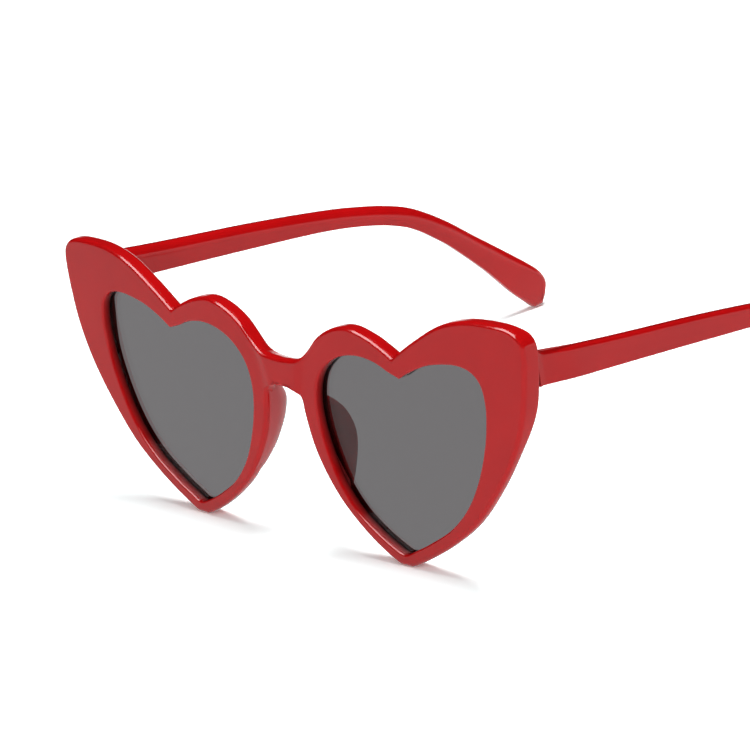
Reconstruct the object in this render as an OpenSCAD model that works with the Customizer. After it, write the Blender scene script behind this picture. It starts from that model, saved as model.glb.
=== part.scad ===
// Heart shaped sunglasses: a moulded front with two lenses and two nose pads, and two
// temples that fold on three-knuckle hinges. The glasses stand on the points of the hearts
// and on the ends of the temples. X runs across, the front looks along -Y, Z is up.

/* [Front] */
// Width of the front over both hearts
front_w = 147.6; // [130:0.2:165]
// Height of the front
front_h = 59.3; // [54:0.1:66]
// Thickness of the front, from its face to its back
front_t = 4.2; // [3.8:0.1:5.5]
// Radius of the front's curve, seen from above
front_r = 1000; // [700:50:3000]
// Least distance between the two hearts
heart_gap = 11.2; // [9:0.2:16]
// Depth of the flats under the heart points and under the temple ends
foot_cut = 0.2; // [0.1:0.05:0.4]

/* [Bridge] */
// Depth of the bridge's upper edge below the top of the front, in the middle
bridge_drop = 18.2; // [16:0.1:20]
// Height of the bridge itself, in the middle
bridge_h = 6; // [4:0.1:7]
// How far the bridge sits behind the face of the hearts
bridge_inset = 1; // [0.4:0.1:1.6]

/* [Lenses] */
// Width of the rim on the nose side
nasal_rim = 4.9; // [3.6:0.1:5.6]
// Width of the rim on the temple side, at its widest
outer_rim = 12.4; // [11:0.1:15]
// Height of the rim over the lens opening, at its highest
upper_rim = 10.8; // [9.8:0.1:13]
// Height of the rim under the lens opening
lower_rim = 2.7; // [2.4:0.1:3.6]
// Thickness of a lens
lens_t = 1.3; // [1.1:0.1:1.7]
// Depth of the lens face behind the face of the front
lens_depth = 1.2; // [0.8:0.1:1.5]
// How deep the lens edge reaches into the rim
lens_bite = 0.8; // [0.5:0.1:1.2]
// Play round the edge of a lens in its groove
lens_play = 0.08; // [0.04:0.02:0.15]

/* [Nose pads] */
// Height of a nose pad
pad_h = 22.4; // [18:0.2:24]
// Depth of a nose pad's upper end below the bridge's upper edge
pad_drop = 6.3; // [6:0.1:9]
// How far a nose pad reaches behind the front
pad_reach = 5.1; // [3:0.1:6.5]
// How far the rear edge of a nose pad leans away from the nose
pad_flare = 3.2; // [1.5:0.1:4]
// Width of a nose pad where it is cemented to the rim
pad_foot = 3.2; // [2.6:0.1:3.8]
// Thickness of a nose pad at its rear edge
pad_edge = 1.7; // [1.2:0.1:2.4]
// Film of cement between a nose pad and the front
cement = 0.15; // [0.12:0.01:0.25]

/* [Temples] */
// Length of a temple along Y, from its hinge end to its tip
temple_l = 143.2; // [130:0.2:155]
// Depth of a temple's upper edge at the hinge, below the top of the front
temple_drop = 6.5; // [5.6:0.1:7.4]
// Height of a temple at the hinge end
temple_h = 7.2; // [6.4:0.1:8]
// Thickness of a temple
temple_t = 3; // [2.6:0.1:3.8]
// Play between the hinge end of an open temple and the front
temple_play = 0.3; // [0.2:0.05:0.5]

/* [Hinges] */
// Distance of the flat hinge seat behind the middle of the front's face
seat_y = 7.5; // [7:0.1:8]
// Width of the hinge seat
seat_w = 10.6; // [9.6:0.1:11]
// Depth of the hinge seat's lower end below the middle of the hinge
seat_drop = 11.6; // [8:0.1:14]
// Height of the hinge seat's upper end above the middle of the hinge
seat_rise = 7.5; // [5:0.1:9]
// Depth of the hinge's middle below the middle of the temple's end
hinge_drop = 1.6; // [1.4:0.1:1.7]
// Height of the hinge leaves
leaf_h = 3.8; // [3.6:0.1:3.9]
// Thickness of the hinge leaves
leaf_t = 0.8; // [0.6:0.1:1]
// Length of the leaf on the front, from the hinge axis
front_leaf_l = 5.6; // [5:0.1:5.8]
// Length of the leaf on the temple, from the hinge axis
temple_leaf_l = 10; // [9:0.1:12]
// Radius of the knuckles
knuckle_r = 1.35; // [1.2:0.05:1.5]
// Play between neighbouring knuckles, and round them
knuckle_play = 0.25; // [0.15:0.05:0.35]
// Radius of the hinge screw's shank
screw_r = 0.6; // [0.5:0.05:0.65]
// Radius of the hinge screw's head
screw_head_r = 1.05; // [0.9:0.05:1.15]
// Height of the hinge screw's head
screw_head_h = 0.5; // [0.4:0.05:0.6]
// Radial play round the shanks of the screws and rivets
pin_play = 0.05; // [0.03:0.01:0.08]
// Radius of a rivet's shank
rivet_r = 0.5; // [0.4:0.05:0.6]
// Radius of a rivet's head
rivet_head_r = 0.85; // [0.75:0.05:0.9]
// Height of a rivet's head
rivet_head_h = 0.3; // [0.2:0.05:0.4]
// Depth of a rivet in the plastic
rivet_depth = 2; // [1.5:0.1:2.2]
// Distance between the two rivets in the leaf on the front
front_rivet_pitch = 1.9; // [1.85:0.05:2]
// Distance between the two rivets in the leaf on the temple
temple_rivet_pitch = 3.6; // [3:0.1:4.4]

/* [Hidden] */

// Sides of the large cylinders that curve the front, and of the small round parts
front_sides = 720;
small_sides = 32;
// Straight pieces between two neighbouring points of an outline
curve_steps = 4;
// Overrun of every cut
over = 0.5;

// A heart's outline from its cleft over the outer lobe to the point and back over the
// inner lobe, as shares of the heart's width and height
heart_shares = [
    [0.438, 0.807], [0.532, 0.881], [0.643, 0.955], [0.748, 0.992], [0.853, 1.000],
    [0.944, 0.991], [0.991, 0.953], [1.000, 0.890], [0.991, 0.787], [0.967, 0.654],
    [0.915, 0.511], [0.832, 0.365], [0.729, 0.225], [0.610, 0.119], [0.483, 0.034],
    [0.408, 0.000], [0.341, 0.022], [0.230, 0.103], [0.125, 0.216], [0.048, 0.355],
    [0.012, 0.482], [0.000, 0.588], [0.009, 0.660], [0.036, 0.736], [0.088, 0.812],
    [0.162, 0.869], [0.248, 0.896], [0.334, 0.870], [0.401, 0.831], [0.438, 0.807]];
// The lens opening in the same order, as shares of its width and height
opening_shares = [
    [0.519, 0.882], [0.583, 0.924], [0.678, 0.969], [0.776, 0.993], [0.864, 1.000],
    [0.937, 0.980], [0.984, 0.926], [1.000, 0.836], [0.994, 0.740], [0.971, 0.614],
    [0.919, 0.454], [0.841, 0.303], [0.733, 0.179], [0.599, 0.083], [0.511, 0.031],
    [0.448, 0.000], [0.389, 0.020], [0.295, 0.076], [0.183, 0.166], [0.094, 0.290],
    [0.035, 0.443], [0.002, 0.596], [0.002, 0.712], [0.033, 0.812], [0.104, 0.893],
    [0.196, 0.939], [0.291, 0.952], [0.383, 0.937], [0.458, 0.904], [0.519, 0.882]];
// Places in the heart's outline of its point and of the bridge's upper edge
heart_point = 15;
bridge_point = 23;
// Half of the bridge from the middle outwards: shares of the heart gap sideways, and of
// the bridge's height upwards from its upper edge or downwards from its lower edge
bridge_top_shares = [[0.00, 0.00], [0.18, 0.02], [0.38, 0.05], [0.59, 0.16], [0.84, 0.50]];
bridge_bottom_shares = [[0.84, 0.45], [0.56, 0.31], [0.46, 0.13], [0.31, 0.03], [0.00, 0.00]];
// Upper edge of a temple from the hinge to the tip, and its lower edge back to the
// hinge: shares of the temple's length, and of the height of its upper edge
temple_upper_shares = [
    [0.000, 1.000], [0.156, 0.939], [0.351, 0.874], [0.505, 0.813], [0.589, 0.770],
    [0.658, 0.723], [0.714, 0.667], [0.781, 0.564], [0.846, 0.441], [0.913, 0.316],
    [0.966, 0.214], [0.990, 0.158], [1.000, 0.105], [0.996, 0.050], [0.987, 0.008]];
temple_lower_shares = [
    [0.978, -0.004], [0.968, 0.006], [0.945, 0.062], [0.914, 0.135], [0.882, 0.220],
    [0.850, 0.301], [0.786, 0.447], [0.753, 0.510], [0.713, 0.576], [0.672, 0.626],
    [0.605, 0.679], [0.505, 0.727], [0.351, 0.772], [0.156, 0.820]];
// Rear edge of a nose pad from its lower to its upper end: shares of the pad's height, of
// its reach and of its lean. The share of the height that is cut off flat at each end
pad_rear_shares = [
    [0.00, 0.00, 0.08], [0.12, 0.12, 0.36], [0.27, 0.50, 0.67], [0.44, 0.84, 0.97],
    [0.60, 1.00, 1.00], [0.76, 0.92, 0.84], [0.87, 0.66, 0.65], [0.95, 0.26, 0.42],
    [1.00, 0.00, 0.30]];
pad_end_share = 0.03;
// A level section of a nose pad, anticlockwise from its foot on the nose side. Sideways:
// shares of the foot's width, of the lean and of the edge's thickness. Backwards: shares
// of the reach and of the edge's thickness
pad_shares = [
    [0, 0.0, 0.00, 0.0, 0.000], [1, 0.0, 0.00, 0.0, 0.000], [0, 1.0, 1.00, 1.0, -0.500],
    [0, 1.0, 0.85, 1.0, -0.125], [0, 1.0, 0.50, 1.0, 0.000], [0, 1.0, 0.15, 1.0, -0.125],
    [0, 1.0, 0.00, 1.0, -0.500], [0, 0.4, 0.00, 0.5, 0.000]];

heart_w = (front_w - heart_gap) / 2;
heart_x = heart_gap / 2;
opening_x = heart_x + nasal_rim;
opening_w = heart_w - nasal_rim - outer_rim;
opening_h = front_h - upper_rim - lower_rim;
bridge_top = front_h - bridge_drop;
bridge_bottom = bridge_top - bridge_h;
pad_z = bridge_top - pad_drop - pad_h;
temple_top = front_h - temple_drop;
front_sag = front_r - sqrt(pow(front_r, 2) - pow(front_w / 2, 2));
temple_y = seat_y + temple_play;
temple_x = front_w / 2 - temple_t;
hinge_x = temple_x - knuckle_r - knuckle_play;
hinge_y = temple_y + knuckle_r;
hinge_z = temple_top - temple_h / 2 - hinge_drop;
leaf_z = hinge_z - leaf_h / 2;
knuckle_h = (leaf_h - 2 * knuckle_play) / 3;
seat_x = front_w / 2 - seat_w;
seat_z = hinge_z - seat_drop;
rivet_front_x = (hinge_x - front_leaf_l + hinge_x - knuckle_r) / 2;
rivet_temple_y = hinge_y + temple_leaf_l - rivet_head_r - leaf_t;

function between(p0, p1, p2, p3, t) =
    (2 * p1 + (p2 - p0) * t + (2 * p0 - 5 * p1 + 4 * p2 - p3) * t * t
     + (3 * p1 - p0 - 3 * p2 + p3) * t * t * t) / 2;

// A smooth curve through the points of a path, which keeps its first and last points
function curve(path) =
    let (last = len(path) - 1)
    [for (i = [0 : last - 1], s = [0 : curve_steps - 1])
        between(i == 0 ? 2 * path[0] - path[1] : path[i - 1], path[i], path[i + 1],
                i == last - 1 ? 2 * path[last] - path[last - 1] : path[i + 2],
                s / curve_steps),
     path[last]];

function placed(shares, w, h, x = 0, z = 0) = [for (s = shares) [x + s[0] * w, z + s[1] * h]];

// A closed curve whose last point repeats its first one
function loop(path) = let (all = curve(path)) [for (i = [0 : len(all) - 2]) all[i]];

function unit(v) = v / norm(v);

// A closed outline, listed clockwise, moved outwards by d
function grown(points, d) =
    let (n = len(points))
    [for (i = [0 : n - 1])
        let (a = unit(points[i] - points[(i + n - 1) % n]),
             b = unit(points[(i + 1) % n] - points[i]),
             na = [-a[1], a[0]], nb = [-b[1], b[0]], m = unit(na + nb))
        points[i] + m * d / (m * na)];

heart_path = placed(heart_shares, heart_w, front_h, heart_x, -foot_cut);
heart = loop(heart_path);
opening = loop(placed(opening_shares, opening_w, opening_h, opening_x, lower_rim));
// The nose side of the heart from its point to the bridge, as pairs of height and distance
nasal_side = [for (i = [heart_point * curve_steps : bridge_point * curve_steps])
    [heart[i][1], heart[i][0]]];

function nasal_x(z) = lookup(z, nasal_side);

// A prism along Y over an outline in the XZ plane
module prism(points, y0, y1)
    translate([0, y1, 0]) rotate([90, 0, 0]) linear_extrude(y1 - y0) polygon(points);

// The layer of the curved front between two depths behind its face, over an outline
module layer(points, d0, d1)
    intersection() {
        prism(points, -over, seat_y);
        translate([0, front_r, -over]) difference() {
            cylinder(r = front_r - d0, h = front_h + 2 * over, $fn = front_sides);
            translate([0, 0, -over])
                cylinder(r = front_r - d1, h = front_h + 4 * over, $fn = front_sides);
        }
    }

module both_sides() {
    children();
    mirror([1, 0, 0]) children();
}

// Keeps what stands above the ground
module on_ground(y0, y1)
    intersection() {
        children();
        translate([-front_w, y0, 0]) cube([2 * front_w, y1 - y0, 2 * front_h]);
    }

// A round hole or shank along Y or X
module along_y(r, y0, y1) translate([0, y1, 0]) rotate([90, 0, 0])
    cylinder(r = r, h = y1 - y0, $fn = small_sides);

module along_x(r, x0, x1) translate([x0, 0, 0]) rotate([0, 90, 0])
    cylinder(r = r, h = x1 - x0, $fn = small_sides);

module at_front_rivets()
    for (side = [-1, 1])
        translate([rivet_front_x, 0, hinge_z + side * front_rivet_pitch / 2]) children();

module at_temple_rivets()
    for (step = [0, 1])
        translate([0, rivet_temple_y - step * temple_rivet_pitch, hinge_z]) children();

module bridge() {
    top = curve(placed(bridge_top_shares, heart_gap, bridge_h, 0, bridge_top));
    bottom = curve([for (s = bridge_bottom_shares)
        [s[0] * heart_gap, bridge_bottom - s[1] * bridge_h]]);
    layer(concat(top, bottom), bridge_inset, front_t);
}

module heart_rim() {
    difference() {
        union() {
            layer(heart, 0, front_t);
            intersection() {
                prism(heart, front_sag + front_t / 2, seat_y);
                translate([seat_x, 0, seat_z]) cube([seat_w, seat_y, seat_drop + seat_rise]);
            }
        }
        prism(opening, -2 * over, seat_y + over);
        layer(grown(opening, lens_bite), lens_depth - lens_play, lens_depth + lens_t + lens_play);
        at_front_rivets() along_y(rivet_r + pin_play, seat_y - rivet_depth - pin_play, seat_y + over);
    }
}

module front_frame() {
    color("firebrick") on_ground(-front_t, 2 * seat_y) both_sides() {
        heart_rim();
        bridge();
    }
}

module lens() {
    color([0.45, 0.44, 0.45, 0.6])
        layer(grown(opening, lens_bite - lens_play), lens_depth, lens_depth + lens_t);
}

// The rear edge of a nose pad as points of height, reach and lean, from end to end
pad_rear = [for (p = curve(pad_rear_shares)) if (p[0] > pad_end_share && p[0] < 1 - pad_end_share) p];

// The level section of a nose pad at a point of its rear edge
function pad_section(rear) =
    let (z = pad_z + rear[0] * pad_h,
         reach = pad_edge / 2 + (pad_reach - pad_edge / 2) * rear[1])
    [for (s = pad_shares)
        [nasal_x(z) + s[0] * pad_foot + s[1] * pad_flare * rear[2] + s[2] * pad_edge,
         front_t + cement + s[3] * reach + s[4] * pad_edge, z]];

module nose_pad() {
    rings = [for (rear = pad_rear) pad_section(rear)];
    n = len(rings[0]);
    last = len(rings) - 1;
    points = [for (ring = rings) for (p = ring) p];
    sides = [for (i = [0 : last - 1], j = [0 : n - 1])
        let (a = i * n + j, b = i * n + (j + 1) % n) each [[a, a + n, b], [b, a + n, b + n]]];
    color("firebrick") polyhedron(points, concat(
        [[for (j = [0 : n - 1]) j]], sides, [[for (j = [n - 1 : -1 : 0]) last * n + j]]));
}

module temple() {
    upper = curve(placed(temple_upper_shares, temple_l, temple_top, temple_y));
    lower = curve(concat(placed(temple_lower_shares, temple_l, temple_top, temple_y),
                         [[temple_y, temple_top - temple_h]]));
    color("firebrick") on_ground(temple_y - over, temple_y + temple_l + over) difference() {
        translate([temple_x, 0, 0]) rotate([90, 0, 90])
            linear_extrude(temple_t) polygon(concat(upper, lower));
        at_temple_rivets()
            along_x(rivet_r + pin_play, temple_x - over, temple_x + rivet_depth + pin_play);
    }
}

module knuckle(level)
    translate([hinge_x, hinge_y, leaf_z + level * (knuckle_h + knuckle_play)])
        cylinder(r = knuckle_r, h = knuckle_h, $fn = small_sides);

module hinge_bore()
    translate([hinge_x, hinge_y, leaf_z - over])
        cylinder(r = screw_r + pin_play, h = leaf_h + 2 * over, $fn = small_sides);

module front_leaf() {
    fork_z = leaf_z + knuckle_h;
    fork_x = hinge_x - knuckle_r - knuckle_play;
    color("silver") difference() {
        union() {
            for (level = [0, 2]) knuckle(level);
            translate([hinge_x - front_leaf_l, seat_y, leaf_z])
                cube([front_leaf_l + knuckle_r, leaf_t, leaf_h]);
        }
        translate([fork_x, seat_y - over, fork_z])
            cube([front_leaf_l, leaf_t + 2 * over, knuckle_h + 2 * knuckle_play]);
        hinge_bore();
        at_front_rivets() along_y(rivet_r + pin_play, seat_y - over, seat_y + leaf_t + over);
    }
}

module temple_leaf() {
    plate_y = hinge_y + knuckle_r + knuckle_play;
    color("silver") difference() {
        union() {
            knuckle(1);
            translate([temple_x - leaf_t - knuckle_play, hinge_y, leaf_z + knuckle_h + knuckle_play])
                cube([leaf_t + knuckle_play, plate_y - hinge_y + leaf_t, knuckle_h]);
            translate([temple_x - leaf_t, plate_y, leaf_z])
                cube([leaf_t, temple_leaf_l - plate_y + hinge_y, leaf_h]);
        }
        hinge_bore();
        at_temple_rivets() along_x(rivet_r + pin_play, temple_x - leaf_t - over, temple_x + over);
    }
}

module hinge_screw() {
    slot_w = screw_head_r / 3;
    color("gainsboro") translate([hinge_x, hinge_y, leaf_z]) difference() {
        union() {
            cylinder(r = screw_r, h = leaf_h, $fn = small_sides);
            translate([0, 0, leaf_h]) cylinder(r = screw_head_r, h = screw_head_h, $fn = small_sides);
        }
        translate([-slot_w / 2, -2 * screw_head_r, leaf_h + screw_head_h / 2])
            cube([slot_w, 4 * screw_head_r, screw_head_h]);
    }
}

module front_rivets() {
    color("gainsboro") at_front_rivets() {
        along_y(rivet_r, seat_y - rivet_depth, seat_y + leaf_t + rivet_head_h);
        along_y(rivet_head_r, seat_y + leaf_t, seat_y + leaf_t + rivet_head_h);
    }
}

module temple_rivets() {
    color("gainsboro") at_temple_rivets() {
        along_x(rivet_r, temple_x - leaf_t - rivet_head_h, temple_x + rivet_depth);
        along_x(rivet_head_r, temple_x - leaf_t - rivet_head_h, temple_x - leaf_t);
    }
}

module right() mirror([1, 0, 0]) children();

// Puts the origin under the middle of the glasses
module centred() translate([0, -(temple_y + temple_l) / 2, 0]) children();

centred() front_frame();
centred() lens();  // lens_left
centred() right() lens();  // lens_right
centred() nose_pad();  // nose_pad_left
centred() right() nose_pad();  // nose_pad_right
centred() temple();  // temple_left
centred() right() temple();  // temple_right
centred() front_leaf();  // front_leaf_left
centred() right() front_leaf();  // front_leaf_right
centred() temple_leaf();  // temple_leaf_left
centred() right() temple_leaf();  // temple_leaf_right
centred() hinge_screw();  // hinge_screw_left
centred() right() hinge_screw();  // hinge_screw_right
centred() front_rivets();  // front_rivets_left
centred() right() front_rivets();  // front_rivets_right
centred() temple_rivets();  // temple_rivets_left
centred() right() temple_rivets();  // temple_rivets_right
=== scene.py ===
"""Dresses the heart shaped sunglasses: the moulded front with its bridge, the tinted lenses,
the nose pads, the folding temples, the finishes of the hinges, and the studio round them."""

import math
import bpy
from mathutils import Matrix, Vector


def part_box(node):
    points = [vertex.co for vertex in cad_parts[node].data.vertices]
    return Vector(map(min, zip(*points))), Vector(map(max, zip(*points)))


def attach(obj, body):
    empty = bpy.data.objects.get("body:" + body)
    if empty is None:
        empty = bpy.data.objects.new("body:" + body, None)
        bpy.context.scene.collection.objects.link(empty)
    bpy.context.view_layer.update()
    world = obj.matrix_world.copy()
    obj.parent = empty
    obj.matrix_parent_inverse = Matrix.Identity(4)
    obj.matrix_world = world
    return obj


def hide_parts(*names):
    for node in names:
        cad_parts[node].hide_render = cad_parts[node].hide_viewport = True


bl_info = {
    "name": "Heart Shaped Sunglasses",
    "version": (1, 0, 0),
    "blender": (4, 5, 0),
    "location": "3D View > Sidebar > Sunglasses",
    "description": "Makes the pieces of a pair of heart shaped sunglasses and a plain studio",
    "category": "Add Mesh",
}

import bpy
import numpy as np
from bpy.props import FloatProperty, FloatVectorProperty, PointerProperty
from mathutils import Matrix

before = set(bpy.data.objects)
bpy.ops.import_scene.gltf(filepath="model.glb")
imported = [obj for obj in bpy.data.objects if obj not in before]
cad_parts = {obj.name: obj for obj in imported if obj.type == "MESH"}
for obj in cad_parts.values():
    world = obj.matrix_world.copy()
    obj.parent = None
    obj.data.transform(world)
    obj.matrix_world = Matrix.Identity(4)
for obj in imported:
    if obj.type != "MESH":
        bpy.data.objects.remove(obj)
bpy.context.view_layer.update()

# Where the middle of the front's face lies: as far before the origin as the temples end
# behind it
FACE_Y = -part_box("temple_left")[1].y

# A heart's outline from its cleft over the outer lobe to the point and back over the inner
# lobe, and the lens opening in the same order, as shares of their widths and heights
HEART_SHARES = [
    (0.438, 0.807), (0.532, 0.881), (0.643, 0.955), (0.748, 0.992), (0.853, 1.000),
    (0.944, 0.991), (0.991, 0.953), (1.000, 0.890), (0.991, 0.787), (0.967, 0.654),
    (0.915, 0.511), (0.832, 0.365), (0.729, 0.225), (0.610, 0.119), (0.483, 0.034),
    (0.408, 0.000), (0.341, 0.022), (0.230, 0.103), (0.125, 0.216), (0.048, 0.355),
    (0.012, 0.482), (0.000, 0.588), (0.009, 0.660), (0.036, 0.736), (0.088, 0.812),
    (0.160, 0.864), (0.244, 0.888), (0.331, 0.867), (0.401, 0.831), (0.438, 0.807)]
OPENING_SHARES = [
    (0.519, 0.882), (0.583, 0.924), (0.678, 0.969), (0.776, 0.993), (0.864, 1.000),
    (0.937, 0.980), (0.984, 0.926), (1.000, 0.836), (0.994, 0.740), (0.971, 0.614),
    (0.919, 0.454), (0.841, 0.303), (0.733, 0.179), (0.599, 0.083), (0.511, 0.031),
    (0.448, 0.000), (0.389, 0.020), (0.295, 0.076), (0.183, 0.166), (0.094, 0.290),
    (0.035, 0.443), (0.002, 0.596), (0.002, 0.712), (0.033, 0.812), (0.104, 0.893),
    (0.196, 0.939), (0.291, 0.952), (0.383, 0.937), (0.458, 0.904), (0.519, 0.882)]
# Places in those outlines of the heart's point and of the inner lobe's top
HEART_POINT = 15
INNER_LOBE = 26
# Half of the bridge from the middle outwards: shares of the gap between the hearts
# sideways, and of the bridge's height from its upper or its lower edge
BRIDGE_TOP_SHARES = [(0.00, 0.00), (0.18, 0.02), (0.38, 0.05), (0.59, 0.16), (0.84, 0.50)]
BRIDGE_BOTTOM_SHARES = [(0.84, 0.42), (0.61, 0.26), (0.52, 0.08), (0.36, 0.01), (0.00, 0.00)]
# Upper edge of a temple from the hinge to its end, and its lower edge from the end back to
# the hinge: shares of the temple's length, and of the height of its upper edge
TEMPLE_UPPER_SHARES = [
    (0.000, 0.992), (0.156, 0.936), (0.351, 0.873), (0.505, 0.813), (0.589, 0.770),
    (0.658, 0.723), (0.714, 0.667), (0.781, 0.564), (0.846, 0.441), (0.913, 0.316),
    (0.966, 0.214), (0.990, 0.158), (1.000, 0.105), (0.996, 0.050)]
TEMPLE_LOWER_SHARES = [
    (0.996, 0.050), (0.987, 0.008), (0.978, -0.004), (0.966, 0.000), (0.943, 0.048),
    (0.912, 0.118), (0.880, 0.203), (0.848, 0.285), (0.784, 0.432), (0.751, 0.497),
    (0.712, 0.566), (0.672, 0.618), (0.605, 0.672), (0.505, 0.721), (0.351, 0.764),
    (0.156, 0.811)]
# Rear edge of a nose pad from its lower to its upper end: shares of the pad's height, of
# its depth and of its lean
PAD_REAR_SHARES = [
    (-0.07, 0.00, 0.00), (0.00, 0.14, 0.08), (0.12, 0.37, 0.36), (0.27, 0.655, 0.67),
    (0.44, 0.875, 0.98), (0.60, 0.98, 1.02), (0.76, 0.91, 0.84), (0.87, 0.69, 0.65),
    (0.95, 0.42, 0.42), (1.00, 0.16, 0.30), (1.04, 0.00, 0.20)]
# A level section of a nose pad from its front on the nose side, round its rear edge.
# Sideways: shares of the foot's width, of the lean and of the edge's thickness. Backwards:
# shares of the depth and of the edge's thickness
PAD_SHARES = [
    (0.00, 0.00, 0.00, 0.12, 0.00), (0.00, 0.01, 0.00, 0.25, 0.00),
    (0.00, 0.06, 0.00, 0.42, 0.00), (0.00, 0.18, 0.00, 0.58, 0.00),
    (0.00, 0.40, 0.00, 0.75, 0.00), (0.00, 0.70, 0.00, 0.89, 0.00),
    (0.00, 1.00, 0.12, 1.00, -0.15), (0.00, 1.00, 0.50, 1.00, 0.00),
    (0.00, 1.00, 0.88, 1.00, -0.15), (0.00, 1.00, 1.00, 1.00, -0.50),
    (0.35, 0.60, 0.85, 0.75, -0.30), (1.00, 0.00, 0.00, 0.40, 0.00),
    (0.80, 0.00, 0.00, 0.25, 0.00), (0.30, 0.00, 0.00, 0.12, 0.00)]


def length(name, description, default):
    """A size in metres."""
    return FloatProperty(name=name, description=description, default=default, min=0.0,
                         unit="LENGTH", precision=5)


def amount(name, description, default, unit="NONE"):
    """A strength without a unit, or a power in watts."""
    return FloatProperty(name=name, description=description, default=default, min=0.0,
                         unit=unit)


def tint(name, description, default):
    """A colour. What the camera sees of the floor goes beyond one."""
    return FloatVectorProperty(name=name, description=description, default=default, size=3,
                               min=0.0, max=2.0, subtype="COLOR")


class FrontSizes(bpy.types.PropertyGroup):
    width: length("Width", "Width of the front over both hearts", 0.1476)
    height: length("Height", "Height of the front", 0.0593)
    thickness: length("Thickness", "From the face of the front to its back", 0.0042)
    curve_radius: length("Curve radius", "Radius of the front's curve, from above", 1.0)
    heart_gap: length("Heart gap", "Least distance between the two hearts", 0.0112)
    foot_cut: length("Foot cut", "Depth of the flats under the heart points", 0.0002)
    nasal_rim: length("Nasal rim", "Width of the rim on the nose side", 0.0049)
    outer_rim: length("Outer rim", "Width of the rim on the temple side", 0.0124)
    upper_rim: length("Upper rim", "Height of the rim over the lens opening", 0.0108)
    lower_rim: length("Lower rim", "Height of the rim under the lens opening", 0.0027)
    bridge_drop: length("Bridge drop", "From the top of the front to the bridge", 0.0172)
    bridge_height: length("Bridge height", "Height of the bridge itself", 0.0066)
    bridge_rise: length("Bridge rise", "How far the bridge stands before the face", 0.0004)
    rise_lap: length("Rise lap", "How far the raised bridge laps over a heart", 0.001)
    rise_fade: length("Rise fade", "Width over which the rise fades out there", 0.003)
    rise_below: length("Rise below", "How far the rise goes on below the bridge", 0.003)
    rise_above: length("Rise above", "How far the rise goes on above the bridge", 0.0036)
    rise_end: length("Rise end", "Height over which the rise fades out there", 0.002)
    corner_reach: length("Corner reach", "How far the bridge's corners are smoothed", 0.0011)
    seat_y: length("Hinge seat", "From the face to the flat seat of the hinge", 0.0075)
    seat_width: length("Seat width", "Width of the hinge seat", 0.0106)
    seat_drop: length("Seat drop", "From the hinge's middle to the seat's end", 0.0116)
    seat_ramp: length("Seat ramp", "Length of the slope beside the hinge seat", 0.003)
    seat_fade: length("Seat fade", "Height over which the seat fades out below", 0.016)
    seat_crown: length("Seat crown", "Height over which the seat fades out above", 0.008)
    edge_radius: length("Edge radius", "Rounding of the outer edge of the face", 0.001)
    inner_radius: length("Inner radius", "Rounding of the face round a lens", 0.0005)
    back_radius: length("Back radius", "Rounding of the back round a lens", 0.00015)
    rear_inset: length("Rear inset", "Rounding of the rear edge, over the back", 0.0024)
    rear_depth: length("Rear depth", "Rounding of the rear edge, along the side", 0.0028)
    upper_inset: length("Upper inset", "The first of these in the upper half", 0.0015)
    upper_fade: length("Upper fade", "Height over which that comes in", 0.014)
    bridge_crown: length("Bridge crown", "The first of these over the bridge", 0.0012)
    bridge_depth: length("Bridge depth", "The second of these over the bridge", 0.0031)
    bridge_fade: length("Bridge fade", "Width over which these two come in", 0.002)
    seat_radius: length("Seat radius", "Rounding of the rear edge at the hinge", 0.0007)


class LensSizes(bpy.types.PropertyGroup):
    depth: length("Depth", "From the face of the front to the face of a lens", 0.0022)
    thickness: length("Thickness", "Thickness of a lens", 0.0013)
    bite: length("Bite", "How deep the lens edge reaches into the rim", 0.0012)
    play: length("Play", "Play round the edge of a lens", 0.00008)
    cleft_fade: length("Cleft fade", "Distance from the cleft with a lesser bite", 0.004)


class PadSizes(bpy.types.PropertyGroup):
    height: length("Height", "Height of a nose pad", 0.0224)
    drop: length("Drop", "From the bridge's upper edge to the pad's upper end", 0.0073)
    reach: length("Reach", "How far a pad reaches behind the front", 0.0056)
    flare: length("Flare", "How far the rear edge leans away from the nose", 0.0038)
    foot: length("Foot", "Width of a pad where it meets the rim", 0.0032)
    edge: length("Edge", "Thickness of a pad at its rear edge", 0.0017)
    root: length("Root", "Depth behind the face at which a pad's ends rise", 0.0026)
    core: length("Core", "From the nose side to where a pad's ends close", 0.0022)
    overlap: length("Overlap", "How far a pad goes past the heart's nose side", 0.00002)


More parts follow.
